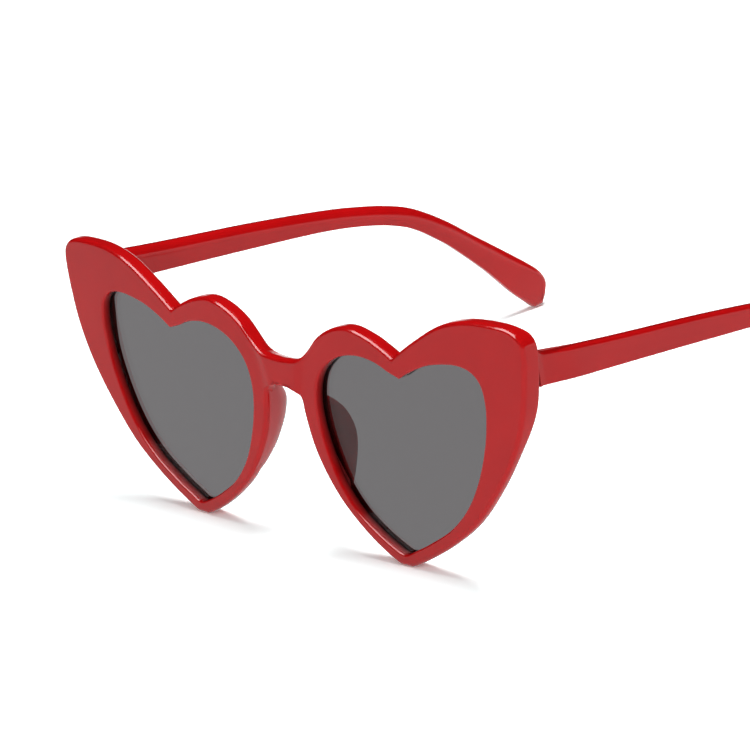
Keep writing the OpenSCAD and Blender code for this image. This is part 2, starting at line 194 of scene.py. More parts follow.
class TempleSizes(bpy.types.PropertyGroup):
    reach: length("Length", "From the hinge end of a temple to its tip", 0.1432)
    drop: length("Drop", "From the top of the front to the temple's upper edge", 0.0060)
    height: length("Height", "Height of a temple at the hinge end", 0.0082)
    thickness: length("Thickness", "Thickness of a temple", 0.003)
    set_in: length("Set in", "How far the outside lies within the front's width", 0.0003)
    hinge_inset: length("Hinge inset", "How far the outside draws in at the hinge", 0.0010)
    inset_fade: length("Inset fade", "Length over which it draws in", 0.012)
    outer_radius: length("Outer radius", "Rounding of the outside, across the top", 0.0012)
    outer_inset: length("Outer inset", "The same rounding, down the outside", 0.0016)
    under_radius: length("Under radius", "Rounding of the outside, across below", 0.0022)
    under_inset: length("Under inset", "The same rounding, up the outside", 0.0008)
    upper_radius: length("Upper radius", "Rounding of the inside, across the top", 0.0020)
    drop_radius: length("Drop radius", "The same where the temple drops", 0.0020)
    upper_inset: length("Upper inset", "The rounding of the inside, down from the top", 0.0028)
    drop_inset: length("Drop inset", "The same where the temple drops", 0.0042)
    lower_radius: length("Lower radius", "Rounding below, where no other applies", 0.0003)
    tip_radius: length("Tip radius", "Rounding of the inside at the tip", 0.0018)
    outer_tip: length("Outer tip", "Rounding of the outside over the drop and tip", 0.0009)
    tip_fade: length("Tip fade", "Length over which the tip's roundings come in", 0.016)
    end_radius: length("End radius", "Rounding of the edges at the hinge end", 0.00005)
    end_fade: length("End fade", "Length over which the others come in there", 0.0012)


class Finishes(bpy.types.PropertyGroup):
    red: tint("Red plastic", "Colour of the moulded plastic", (0.47, 0.003, 0.004))
    # The nose pads' red is paler and pinker than the front's: painted sheen, in place of the
    # pale reflection on the pads
    pad_red_with_painted_sheen: tint("Pad plastic", "Colour of the nose pads", (0.50, 0.045, 0.048))
    # Painted shade: the near-black that darkens the rim's wall deep in each lens opening, as
    # its shadow does
    recess: tint("Recess", "Colour of the rim's wall deep inside", (0.045, 0.004, 0.004))
    smoke: tint("Lens tint", "Light that one lens lets through", (0.149, 0.143, 0.147))
    nickel: tint("Nickel", "Colour of the hinge leaves", (0.62, 0.61, 0.59))
    steel: tint("Steel", "Colour of the screws and rivets", (0.70, 0.70, 0.69))


class Studio(bpy.types.PropertyGroup):
    key_power: amount("Key light", "Power of the soft box overhead", 12.2, "POWER")
    fill_power: amount("Fill light", "Power of the soft front light", 5.0, "POWER")
    side_power: amount("Side light", "Power of the light by the near temple", 21.8, "POWER")
    sheen_power: amount("Sheen", "Power of the light for glossy edges", 15.0, "POWER")
    ambient: amount("Ambient", "Strength of the light all round", 0.25)
    dusk: amount("Dusk", "Strength of the dark room in reflections", 0.012)
    floor: tint("Floor", "Colour of the floor", (0.80, 0.80, 0.80))
    seen_floor: tint("Floor as seen", "The floor's colour to the camera", (1.41, 1.52, 1.52))
    floor_drop: length("Floor drop", "How far the floor lies below the points", 0.00005)
    near_gloss: amount("Near sheen", "Strength of the floor in reflections in front", 0.62)
    far_gloss: amount("Far sheen", "The same behind, on the left", 1.25)
    right_gloss: amount("Right sheen", "The same behind, on the right", 0.72)


SIZES = {"front": FrontSizes, "lens": LensSizes, "pad": PadSizes, "temple": TempleSizes,
         "finish": Finishes, "studio": Studio}


class Sunglasses(bpy.types.PropertyGroup):
    front: PointerProperty(type=FrontSizes)
    lens: PointerProperty(type=LensSizes)
    pad: PointerProperty(type=PadSizes)
    temple: PointerProperty(type=TempleSizes)
    finish: PointerProperty(type=Finishes)
    studio: PointerProperty(type=Studio)


# Curves and outlines

# Steps of a smooth curve between two of its points, in outlines and in the bridge's edges
OUTLINE_STEPS, BRIDGE_STEPS = 12, 8


def smooth_path(points, steps=OUTLINE_STEPS):
    """A curve through the points of an open path. On each span it is the cubic whose slope
    at a point is half the way between that point's neighbours. The first and the last
    point get a neighbour of their own by reflection."""
    p = np.asarray(points, float)
    p = np.vstack([2 * p[0] - p[1], p, 2 * p[-1] - p[-2]])
    a, b, c, d = (q[:, None, :] for q in (p[:-3], p[1:-2], p[2:-1], p[3:]))
    t = (np.arange(steps) / steps)[None, :, None]
    q = (2 * b + (c - a) * t + (2 * a - 5 * b + 4 * c - d) * t ** 2
         + (3 * b - a - 3 * c + d) * t ** 3) / 2
    return np.vstack([q.reshape(-1, p.shape[1]), p[-2]])


def placed(shares, width, height, x=0.0, z=0.0):
    """Points at shares of a width and a height, from a place at x and z."""
    return np.array(shares) * (width, height) + (x, z)


def smoothstep(t):
    """Three times the square less twice the cube, held at zero and at one beyond them."""
    t = np.clip(t, 0, 1)
    return t * t * (3 - 2 * t)


def run(path):
    """The distance along a path to each of its points."""
    return np.concatenate([[0], np.cumsum(np.linalg.norm(np.diff(path, axis=0), axis=1))])


def outward(loop):
    """For each point of a closed loop that runs clockwise, the vector that moves it and both
    of its sides outwards by one unit: the mean of the two side normals, lengthened by one
    over its cosine with either."""
    a = loop - np.roll(loop, 1, axis=0)
    b = np.roll(loop, -1, axis=0) - loop
    a, b = (v / np.linalg.norm(v, axis=1, keepdims=True) for v in (a, b))
    na, nb = (np.stack([-v[:, 1], v[:, 0]], 1) for v in (a, b))
    m = na + nb
    m /= np.linalg.norm(m, axis=1, keepdims=True)
    return m / (m * na).sum(1, keepdims=True)


def arc(steps):
    """Pairs of inset and depth along a quarter circle of radius one, from the side wall up
    to the face."""
    angle = np.linspace(0, math.pi / 2, steps + 1)
    return np.stack([1 - np.cos(angle), 1 - np.sin(angle)], 1)


# Meshes

def grid_faces(rows, columns, close_rows=False, close_columns=True):
    """The quads of a grid of points stored row by row."""
    r = np.arange(rows if close_rows else rows - 1)[:, None]
    c = np.arange(columns if close_columns else columns - 1)[None, :]
    r1, c1 = (r + 1) % rows, (c + 1) % columns
    return np.stack([r * columns + c, r * columns + c1, r1 * columns + c1,
                     r1 * columns + c], -1).reshape(-1, 4)


def welded(points, quads):
    """Merges points that coincide to a tenth of a micrometre. Quads that shrink to
    triangles there become triangles, and those that vanish are dropped."""
    key = np.round(points * 1e7).astype(np.int64)
    _, first, back = np.unique(key, axis=0, return_index=True, return_inverse=True)
    quads = back.reshape(-1)[quads]
    same = quads == np.roll(quads, -1, axis=1)
    faces = quads[same.sum(1) == 0].tolist()
    for k in range(4):
        one = quads[(same.sum(1) == 1) & same[:, k]]
        faces += np.delete(one, k, axis=1).tolist()
    return points[first], faces


def outside_out(points, faces):
    """Turns the faces of a closed mesh over if its signed volume is negative."""
    tri = np.array([(f[0], f[i], f[i + 1]) for f in faces for i in range(1, len(f) - 1)])
    a, b, c = points[tri[:, 0]], points[tri[:, 1]], points[tri[:, 2]]
    if (a * np.cross(b, c)).sum() < 0:
        faces = [f[::-1] for f in faces]
    return faces


def mirrored(points, quads):
    """Adds the mirror image across the plane between the two hearts."""
    return (np.vstack([points, points * (-1, 1, 1)]),
            np.vstack([quads, quads[:, ::-1] + len(points)]))


def piece(name, points, quads, finish, body, slot, *nodes, crease=40.0):
    """A closed piece of the glasses, which rides on a body and stands for CAD nodes."""
    points, faces = welded(points, quads)
    faces = outside_out(points, faces)
    mesh = bpy.data.meshes.new(name)
    mesh.from_pydata(points.tolist(), [], faces)
    mesh.shade_smooth()
    mesh.set_sharp_from_angle(angle=math.radians(crease))
    mesh.materials.append(finish)
    obj = bpy.data.objects.new(name, mesh)
    bpy.context.scene.collection.objects.link(obj)
    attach(obj, body)
    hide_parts(*nodes)
    return obj


def pair(stem, points, quads, finish, slot, bodies=("front", "front")):
    """A piece on the left side, and its mirror image on the right."""
    for side, sign, body in zip(("left", "right"), (1, -1), bodies):
        piece(stem + "_" + side + "_piece", points * (sign, 1, 1), quads, finish, body, slot,
              stem + "_" + side)


# Shape of the front

# Points up the middle of the front, from the bridge's lower to its upper edge
SEAM_POINTS = 14
# What is left out of the heart's outline on either side of the bridge, in places of it
BRIDGE_GAP = 0.1
# How often the corners between the bridge and the hearts are smoothed
CORNER_PASSES = 60
# The most of the rim's width that its rear rounding takes up
REAR_SHARE = 0.55
# How far the bridge's rear rounding is a slope instead of a quarter circle
BRIDGE_SLOPE = 0.8
# An edge of the hinge seat is sharper where it faces sideways: from this much, over this
# further span
SEAT_SIDE, SEAT_SPAN = 0.2, 0.6
# Share of its bite that a lens has at the cleft
CLEFT_BITE = 0.25


def front_face(s, x):
    """Depth of the curved face behind its middle: the rise of a circle's arc."""
    return s.curve_radius - np.sqrt(s.curve_radius ** 2 - x ** 2)


def heart_outline(s):
    """The left heart, which reaches a little below the table before it is cut there."""
    w = (s.width - s.heart_gap) / 2
    return smooth_path(placed(HEART_SHARES, w, s.height, s.heart_gap / 2, -s.foot_cut))


def opening_outline(s):
    """The left lens opening, inside the rim's four widths."""
    w = (s.width - s.heart_gap) / 2 - s.nasal_rim - s.outer_rim
    h = s.height - s.upper_rim - s.lower_rim
    return smooth_path(placed(OPENING_SHARES, w, h, s.heart_gap / 2 + s.nasal_rim,
                              s.lower_rim))


def nose_side(s):
    """Distance of a heart's nose side from the middle, by height."""
    side = heart_outline(s)[HEART_POINT * OUTLINE_STEPS:INNER_LOBE * OUTLINE_STEPS]
    return lambda z: np.interp(z, side[:, 1], side[:, 0])


def half_outline(s):
    """The outline of half of the front: round a heart, but where the bridge leaves it, in
    along the bridge's lower edge, up the middle plane and out along its upper edge. The
    corners there are smoothed by moving each point to the middle of its neighbours, less
    so the farther it is from the corner. Gives the points, each point's place in the
    heart's outline, and which lie in the middle."""
    heart = heart_outline(s)
    place = np.arange(len(heart)) / OUTLINE_STEPS
    side = nose_side(s)
    top = s.height - s.bridge_drop
    bottom = top - s.bridge_height
    lower = smooth_path(placed(BRIDGE_BOTTOM_SHARES, s.heart_gap, -s.bridge_height, 0, bottom),
                        BRIDGE_STEPS)
    upper = smooth_path(placed(BRIDGE_TOP_SHARES, s.heart_gap, s.bridge_height, 0, top),
                        BRIDGE_STEPS)
    lower = lower[lower[:, 0] < side(lower[:, 1])]
    upper = upper[upper[:, 0] < side(upper[:, 1])]
    middle = np.linspace(lower[-1], upper[0], SEAM_POINTS)[1:-1]
    nose = slice(HEART_POINT * OUTLINE_STEPS, INNER_LOBE * OUTLINE_STEPS)
    ends = np.interp([lower[0, 1], upper[-1, 1]], heart[nose, 1], place[nose])
    before = place < ends[0] - BRIDGE_GAP
    after = (place > ends[1] + BRIDGE_GAP) & (place < place[-1])
    path = np.vstack([heart[before], lower, middle, upper, heart[after]])
    first, last = before.sum(), before.sum() + len(lower) + len(middle) + len(upper)
    share = run(path[first - 1:last + 1])
    bridge_place = np.interp(share, [0, share[-1]], [place[before][-1], place[after][0]])
    place = np.concatenate([place[before], bridge_place[1:-1], place[after]])
    seam = np.zeros(len(path), bool)
    seam[first + len(lower) - 1:last - len(upper) + 1] = True
    far = run(path)
    for _ in range(CORNER_PASSES):
        for join in (first, last):
            weight = np.exp(-((far - far[join]) / s.corner_reach) ** 2)[:, None] / 2
            path = path + weight * ((np.roll(path, 1, 0) + np.roll(path, -1, 0)) / 2 - path)
    path[seam, 0] = 0
    path[:, 1] = np.maximum(path[:, 1], 0)
    return path, place, seam


def front_layers(s, lens):
    """The front's half as closed layers of points. Each layer follows the outline, and the
    layers run round the rim's section: out of the lens opening over its rounded edge,
    across the face, over the outer edge, along the side wall, and back behind. Between the
    opening and the outline a layer's points lie at a share of the way. In a rounding they
    are drawn in and set back along a quarter circle, whose radii at the rear change with
    the place: one below, one above, one over the bridge and one at the hinge."""
    path, place, seam = half_outline(s)
    out = outward(path)
    ends = np.flatnonzero(seam)[[0, -1]]
    out[ends] = [(0, -1), (0, 1)]
    opening = opening_outline(s)
    whole = np.arange(len(opening)) / OUTLINE_STEPS
    hole = np.stack([np.interp(place, whole, opening[:, k]) for k in (0, 1)], 1)
    hole_out = outward(hole)
    side = nose_side(s)
    top = s.height - s.bridge_drop

    def inset_rim(d):
        """The outline drawn in, with the points in the middle spread evenly again."""
        loop = path - np.reshape(d, (-1, 1)) * out
        loop[seam] = np.linspace(loop[ends[0]], loop[ends[1]], seam.sum())
        return loop

    def face(loop, d=0.0):
        """A layer at a depth behind the curved face, which the bridge stands out from."""
        x, z = loop.T
        rise = (smoothstep((side(z) - x + s.rise_lap) / s.rise_fade)
                * smoothstep((z - top + s.bridge_height + s.rise_below) / s.rise_end)
                * smoothstep((top + s.rise_above - z) / s.rise_end))
        y = FACE_Y + front_face(s, x) - s.bridge_rise * rise + d
        return np.stack([x, y, z], 1)

    def back(loop, d=0.0):
        """A layer at a depth before the curved back, which the hinge seat stands out from."""
        x, z = loop.T
        plain = front_face(s, x) + s.thickness
        y = FACE_Y + plain + (s.seat_y - plain) * seat_share(s, x, z) - d
        return np.stack([x, y, z], 1)

    ro, ri, rb = s.edge_radius, s.inner_radius, s.back_radius
    x, z = path.T
    bridge = smoothstep((side(z) - x) / s.bridge_fade) * (z > top - s.bridge_height / 2)
    corner = seat_share(s, x, z, crown=0) * smoothstep((out[:, 0] - SEAT_SIDE) / SEAT_SPAN)
    wide = s.rear_inset + (s.upper_inset - s.rear_inset) * smoothstep(
        (z - s.height / 2) / s.upper_fade)
    wide = wide + (s.bridge_crown - wide) * bridge
    room = np.sqrt(((path[:, None] - hole[None]) ** 2).sum(2)).min(1)
    rear_in = np.minimum(wide, REAR_SHARE * room)
    rear_in = rear_in + (s.seat_radius - rear_in) * corner
    rear_down = wide * s.rear_depth / s.rear_inset
    rear_down = rear_down + (s.bridge_depth - rear_down) * bridge
    rear_down = rear_down + (s.seat_radius - rear_down) * corner
    rows = [face(hole, 1.2 * ri)]
    rows += [face(hole + i * ri * hole_out, ri * d) for i, d in arc(steps=5)]
    a, b = hole + ri * hole_out, inset_rim(ro)
    rows += [face(a + (b - a) * w) for w in spread(steps=14)]
    first = len(rows)
    rows += [face(inset_rim(i * ro), ro * d) for i, d in arc(steps=8)[::-1]]
    wall = face(path, ro), back(path, rear_down)
    rows += [wall[0] + (wall[1] - wall[0]) * w for w in (0.33, 0.67)]
    for i, d in arc(steps=9):
        slope = BRIDGE_SLOPE * bridge * (1 - d - i)
        rows.append(back(inset_rim(rear_in * (i + slope)), rear_down * d))
    last = len(rows) - 1
    a, b = hole + rb * hole_out, inset_rim(rear_in)
    rows += [back(b + (a - b) * w) for w in spread(steps=34)]
    rows += [back(hole + i * rb * hole_out, rb * d) for i, d in arc(steps=3)[::-1]]
    rows += [back(hole, 2 * rb)]
    lip = lens.depth + lens.thickness + lens.play
    groove = into_rim(hole, lens)
    rows += [face(hole, lip), face(groove, lip), face(groove, lens.depth - lens.play),
             face(hole, lens.depth - lens.play)]
    points = np.array(rows)
    quads = grid_faces(len(rows), len(path), close_rows=True)
    row, column = quads[:, 0] // len(path), quads[:, 0] % len(path)
    on_seam = seam[column] & seam[(column + 1) % len(path)]
    quads = quads[~(on_seam & (row >= first) & (row < last))]
    return points.reshape(-1, 3), quads


def into_rim(hole, lens, play=0.0):
    """The outline of a lens opening moved out into the rim by the lens's bite, less so near
    its cleft, where it starts, so that it doesn't cross itself."""
    far = np.linalg.norm(hole - hole[0], axis=1)[:, None]
    share = CLEFT_BITE + (1 - CLEFT_BITE) * smoothstep(far / lens.cleft_fade)
    return hole + (lens.bite - play) * share * outward(hole)


def seat_share(s, x, z, crown=1.0):
    """How much of the hinge seat's height a place on the back has: one on the seat at the
    temple side, falling smoothly to zero beside it, below it and, with a crown, above it."""
    low, high = (corner.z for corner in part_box("front_leaf_left"))
    end = (low + high) / 2 - s.seat_drop
    beside = smoothstep((x - s.width / 2 + s.seat_width) / s.seat_ramp + 1)
    below = smoothstep((z - end) / s.seat_fade + 0.5)
    above = smoothstep((s.height - z) / s.seat_crown)
    return beside * below * (1 - crown + crown * above)


def spread(steps, ease=0.65):
    """Shares between zero and one. Ease moves them closer together near both ends."""
    t = np.arange(1, steps) / steps
    return (1 - ease) * t + ease * smoothstep(t)


# Finishes

PLASTIC_IOR = 1.5
# Where the values of the noise mostly lie
NOISE_RANGE = (0.3, 0.7)
# The darkest and the lightest pigment, as shares of the plastic's colour
CLOUD_RANGE = (0.94, 1.05)
# Specular level of the moulded plastic outside, and deep in the lens openings where shade is
# painted
PAINTED_SHADE_GLOSS = (0.5, 0.1)


def feed(tree, made, inputs):
    """Gives inputs of a node a number, a colour or the output of another node."""
    for name, value in inputs.items():
        if isinstance(value, bpy.types.NodeSocket):
            tree.links.new(value, made.inputs[name])
        else:
            made.inputs[name].default_value = value


def node(tree, kind, inputs=None, **settings):
    """Adds a node to the tree of a material or world. Its settings are made before its
    inputs, as they decide which inputs it has."""
    made = tree.nodes.new(kind)
    for name, value in settings.items():
        setattr(made, name, value)
    feed(tree, made, inputs or {})
    return made


def mixed(tree, kind, factor, a, b):
    """A number or a colour between two others."""
    inputs = {"Factor": factor, "A": a, "B": b}
    return node(tree, "ShaderNodeMix", inputs, data_type=kind).outputs["Result"]


def maths(tree, operation, a, b):
    """The result of an operation on two numbers."""
    return node(tree, "ShaderNodeMath", {0: a, 1: b}, operation=operation).outputs[0]


def ramp(tree, value, source, target, kind="LINEAR"):
    """Carries a value from one range to another, and holds it at the ends of both."""
    inputs = {"Value": value, "From Min": source[0], "From Max": source[1],
              "To Min": target[0], "To Max": target[1]}
    made = node(tree, "ShaderNodeMapRange", inputs, interpolation_type=kind)
    return made.outputs["Result"]


def smooth_ramp(tree, value, source, target):
    """The same, with a smoothstep between the ends."""
    return ramp(tree, value, source, target, "SMOOTHSTEP")


def noise(tree, place, waves, detail=2.0, stretch=(1, 1, 1)):
    """Noise of so many waves to the metre, stretched along the axes."""
    turn = node(tree, "ShaderNodeMapping", {"Vector": place, "Scale": stretch})
    grain = node(tree, "ShaderNodeTexNoise",
                 {"Vector": turn.outputs["Vector"], "Scale": waves, "Detail": detail})
    return grain.outputs["Fac"]


def bump(tree, shader, height, strength, distance):
    """Gives a shader fine relief, of a depth in metres."""
    inputs = {"Height": height, "Strength": strength, "Distance": distance}
    made = node(tree, "ShaderNodeBump", inputs)
    feed(tree, shader, {"Normal": made.outputs["Normal"]})


def new_finish(name):
    """A material, its tree, its surface shader and the object's own coordinates."""
    finish = bpy.data.materials.new(name)
    finish.use_nodes = True
    tree = finish.node_tree
    place = node(tree, "ShaderNodeTexCoord").outputs["Object"]
    return finish, tree, tree.nodes["Principled BSDF"], place


def moulded_plastic(name, colour):
    """Glossy moulded plastic: slight clouds in the pigment, a skin that is a little uneven,
    and fine rubbing marks that dull the gloss."""
    finish, tree, shader, place = new_finish(name)
    clouds = ramp(tree, noise(tree, place, 60.0, 3.0), NOISE_RANGE, (0, 1))
    dark, light = ((*[min(1, share * c) for c in colour], 1) for share in CLOUD_RANGE)
    rubbing = noise(tree, place, 700.0, 4.0, (1, 0.2, 1))
    feed(tree, shader, {
        "IOR": PLASTIC_IOR,
        "Base Color": mixed(tree, "RGBA", clouds, dark, light),
        "Roughness": ramp(tree, rubbing, NOISE_RANGE, (0.09, 0.15))})
    bump(tree, shader, noise(tree, place, 260.0), strength=0.06, distance=0.0002)
    return finish


def shaded(finish, colour):
    """Paints shade into a finish: a darker colour and less gloss where its mesh marks a place
    as shaded.
    """
    tree = finish.node_tree
    shader = tree.nodes["Principled BSDF"]
    recess = node(tree, "ShaderNodeAttribute", attribute_name="recess").outputs["Fac"]
    plain = shader.inputs["Base Color"].links[0].from_socket
    feed(tree, shader, {
        "Base Color": mixed(tree, "RGBA", recess, plain, (*colour, 1)),
        "Specular IOR Level": ramp(tree, recess, (0, 1), PAINTED_SHADE_GLOSS)})
    return finish


def lens_tint(colour):
    """Clear plastic with a grey tint, polished, with faint smears."""
    finish, tree, shader, place = new_finish("lens_tint")
    smears = noise(tree, place, 90.0, 4.0, (1, 1, 0.3))
    feed(tree, shader, {
        "IOR": PLASTIC_IOR, "Base Color": (*colour, 1), "Transmission Weight": 1.0,
        "Roughness": ramp(tree, smears, NOISE_RANGE, (0.0, 0.03))})
    return finish


def plated_metal(name, colour, roughness):
    """Nickel or steel with the fine drawn lines of stamped or turned metal."""
    finish, tree, shader, place = new_finish(name)
    lines = noise(tree, place, 900.0, 3.0, (1, 1, 8))
    feed(tree, shader, {
        "Metallic": 1.0, "Base Color": (*colour, 1),
        "Roughness": ramp(tree, lines, NOISE_RANGE, roughness)})
    bump(tree, shader, lines, strength=0.25, distance=0.00002)
    return finish


# Shape of the lenses, nose pads and temples

# Loops of a lens's face between its middle and the rim
LENS_LOOPS = 20
# A pad's rear edge has its full thickness where its depth has reached this share, starts
# from this share of that thickness squared, and the pad's ends are rounded off up to this
# share of its depth
PAD_EDGE_FULL, PAD_EDGE_START, PAD_END = 0.5, 0.02, 0.4
# Points along one edge of a temple, how much closer they lie near its tip, and points
# across half of its hinge end
TEMPLE_POINTS, TEMPLE_EASE, TEMPLE_END_POINTS = 200, 0.4, 6
# A temple's upper roundings begin where its edge faces down by this much and are full over
# this further span
UPPER_START, UPPER_SPAN = 0.3, 0.9
# Shares of a temple's length between which it takes on the roundings of its drop
DROP_START, DROP_END = 0.35, 0.85


def closed_curve(points, steps=5):
    """A smooth closed curve through points, without the repeated last one."""
    wrapped = np.vstack([points[-2:], points, points[:2]])
    return smooth_path(wrapped, steps)[2 * steps:-2 * steps - 1]


def resampled(path, count, ease=0.0):
    """Points along a path. Ease moves them closer together near its end."""
    far = run(path)
    t = np.linspace(0, 1, count)
    t = (1 - ease) * t + ease * (1 - (1 - t) ** 2)
    return np.stack([np.interp(t * far[-1], far, path[:, k]) for k in (0, 1)], 1)


def lens_grid(s, lens):
    """A lens as two faces that meet in the rim's groove. A face is the opening's outline,
    shrunk towards its middle by even steps and set at the face's depth behind the front's
    curve. Its last loop is that outline moved out into the groove."""
    hole = opening_outline(s)[:-1]
    middle = (hole.min(0) + hole.max(0)) / 2
    loops = [middle + (hole - middle) * w for w in np.linspace(0, 1, LENS_LOOPS)]
    loops.append(into_rim(hole, lens, lens.play))
    rows = []
    for depth, order in ((lens.depth, loops), (lens.depth + lens.thickness, loops[::-1])):
        for x, z in (loop.T for loop in order):
            rows.append(np.stack([x, FACE_Y + front_face(s, x) + depth, z], 1))
    return np.array(rows).reshape(-1, 3), grid_faces(len(rows), len(hole))


def pad_grid(s, pad):
    """A nose pad as level rings, one for each point of its rear edge. A ring is a smooth
    closed curve. Sideways, its points lie at the heart's nose side plus shares of the foot's
    width, of the lean and of the edge's thickness, and backwards at shares of the depth and
    of that thickness. Towards both ends the rings shrink to a point, along a quarter
    circle."""
    side = nose_side(s)
    top = s.height - s.bridge_drop - pad.drop
    rear = smooth_path(PAD_REAR_SHARES, 10)
    z = (top - pad.height + rear[:, 0] * pad.height)[:, None]
    share = rear[:, 1:2]
    depth = pad.root + (s.thickness + pad.reach - pad.root) * share
    edge = pad.edge * np.sqrt(np.minimum(1, share / PAD_EDGE_FULL + PAD_EDGE_START))
    c = np.array(PAD_SHARES).T[:, None, :]
    x = (side(z) - pad.overlap + c[0] * pad.foot + c[1] * pad.flare * rear[:, 2:3]
         + c[2] * edge)
    y = FACE_Y + front_face(s, x) + c[3] * depth + c[4] * edge
    rings = np.array([closed_curve(np.stack([x[i], y[i]], 1)) for i in range(len(z))])
    core = np.concatenate([side(z) + pad.core, np.full_like(z, FACE_Y + pad.root)], 1)[:, None]
    cap = np.sqrt(1 - (1 - np.clip(share / PAD_END, 0, 1)) ** 2)[:, :, None]
    rings = core + (rings - core) * cap
    height = np.repeat(z[:, None], rings.shape[1], 1)
    points = np.concatenate([rings, height], 2)
    return points.reshape(-1, 3), grid_faces(*points.shape[:2])


def temple_grid(s, t):
    """A temple as layers of its outline from the outside to the inside. At each point a
    layer is drawn in and set back by the inset and depth of a quarter circle, whose radii
    change along the temple and from its lower to its upper edge. Two flat sheets from the
    upper to the lower edge close it."""
    top, y0 = s.height - t.drop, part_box("temple_left")[0].y
    upper = smooth_path(placed(TEMPLE_UPPER_SHARES, t.reach, top, y0))
    lower = placed(TEMPLE_LOWER_SHARES, t.reach, top, y0)
    lower = smooth_path(np.vstack([lower, [(y0, top - t.height)]]))[::-1]
    middle = (upper[0] + lower[0]) / 2
    halves = []
    for half in (upper, lower):
        half = resampled(half, TEMPLE_POINTS, TEMPLE_EASE)
        end = np.linspace(middle, half[0], TEMPLE_END_POINTS + 1)[:-1]
        halves.append(np.vstack([end, half]))
    loop = np.vstack([halves[0], halves[1][-2:0:-1]])
    loop[:, 1] = np.maximum(loop[:, 1], 0)
    out = outward(loop)
    back = loop[:, :1] - y0
    start = smoothstep(back / t.end_fade)
    tip = smoothstep((back - t.reach) / t.tip_fade + 1)
    over = smoothstep((out[:, 1:] + UPPER_START) / UPPER_SPAN)
    far = smoothstep((back / t.reach - DROP_START) / (DROP_END - DROP_START))

    def rounding(below, under, above, dropped, end):
        """A radius at each point, from those below and above near the hinge, those under
        and over the drop, and the one at the tip."""
        below, above = below + (under - below) * far, above + (dropped - above) * far
        r = below + (above - below) * over
        return t.end_radius + (r + (end - r) * tip - t.end_radius) * start

    low = t.lower_radius
    outer = (rounding(low, t.under_radius, t.outer_radius, t.outer_tip, t.outer_tip),
             rounding(low, t.under_inset, t.outer_inset, t.outer_inset, t.outer_tip))
    inner = (rounding(low, low, t.upper_radius, t.drop_radius, t.tip_radius),
             rounding(low, low, t.upper_inset, t.drop_inset, t.tip_radius))
    drawn = t.hinge_inset * (1 - smoothstep(back / t.inset_fade))
    outside = s.width / 2 - drawn - t.set_in * start
    inside = s.width / 2 - t.thickness
    curve = arc(steps=10)
    rows = [(outside - d * outer[0], loop - i * outer[1] * out) for i, d in curve[::-1]]
    rows += [(inside + d * inner[0], loop - i * inner[1] * out) for i, d in curve]
    rows = np.array([np.hstack(row) for row in rows])
    points, quads = rows.reshape(-1, 3), grid_faces(len(rows), len(loop))
    corner = TEMPLE_END_POINTS
    edge = np.arange(corner, len(halves[0]))
    across = np.linspace(0, 1, 2 * corner + 1)[:, None, None]
    faces = grid_faces(len(across), len(edge), close_columns=False)
    for row, turned in ((rows[0], faces[:, ::-1]), (rows[-1], faces)):
        sheet = row[edge] + (row[-edge] - row[edge]) * across
        sheet[:, 0] = row[np.arange(corner, -corner - 1, -1)]
        quads = np.vstack([quads, turned + len(points)])
        points = np.vstack([points, sheet.reshape(-1, 3)])
    return points, quads


# Pieces

# Shade is painted on the front deep in each lens opening, at places that lie deeper behind
# the face than this share of the lens's depth, and nearer to the opening's outline than so
# many radii of its rear rounding
PAINTED_SHADE_DEPTH, PAINTED_SHADE_REACH = 0.7, 2


class SUNGLASSES_OT_front(bpy.types.Operator):
    """The moulded front: two heart rims with their grooves, and the bridge between them"""
    bl_idname = "sunglasses.front"
    bl_label = "Front"

    def execute(self, context):
        p = context.scene.sunglasses
        s, lens = p.front, p.lens
        # The front's plastic, with shade painted deep in each lens opening
        finish = shaded(moulded_plastic("front_plastic", p.finish.red), p.finish.recess)
        obj = piece("front", *mirrored(*front_layers(s, lens)), finish, "front",
                    "front_plastic", "front_frame")
        # Marks the rim's wall deep in each lens opening, behind the lens's face, for the
        # painted shade
        place = np.empty((len(obj.data.vertices), 3), np.float32)
        obj.data.vertices.foreach_get("co", place.ravel())
        x, y, z = place.T
        hole = opening_outline(s)
        apart = np.hypot(np.abs(x)[:, None] - hole[:, 0], z[:, None] - hole[:, 1]).min(1)
        deep = y - FACE_Y - front_face(s, x) > PAINTED_SHADE_DEPTH * lens.depth
        value = (deep & (apart < PAINTED_SHADE_REACH * s.back_radius)).astype(np.float32)
        obj.data.attributes.new("recess", "FLOAT", "POINT").data.foreach_set("value", value)
        return {"FINISHED"}


class SUNGLASSES_OT_lenses(bpy.types.Operator):
    """The two tinted lenses"""
    bl_idname = "sunglasses.lenses"
    bl_label = "Lenses"

    def execute(self, context):
        p = context.scene.sunglasses
        pair("lens", *lens_grid(p.front, p.lens), lens_tint(p.finish.smoke), "lens_tint")
        return {"FINISHED"}


class SUNGLASSES_OT_nose_pads(bpy.types.Operator):
    """The two nose pads behind the rims"""
    bl_idname = "sunglasses.nose_pads"
    bl_label = "Nose pads"

    def execute(self, context):
        p = context.scene.sunglasses
        # The pads' paler red paints in their sheen
        finish = moulded_plastic("pad_plastic", p.finish.pad_red_with_painted_sheen)
        pair("nose_pad", *pad_grid(p.front, p.pad), finish, "pad_plastic")
        return {"FINISHED"}


class SUNGLASSES_OT_temples(bpy.types.Operator):
    """The two temples: flat outside, rounded inside, with a dropped end"""
    bl_idname = "sunglasses.temples"
    bl_label = "Temples"

    def execute(self, context):
        p = context.scene.sunglasses
        finish = moulded_plastic("temple_plastic", p.finish.red)
        pair("temple", *temple_grid(p.front, p.temple), finish, "temple_plastic",
             ("left_temple", "right_temple"))
        return {"FINISHED"}


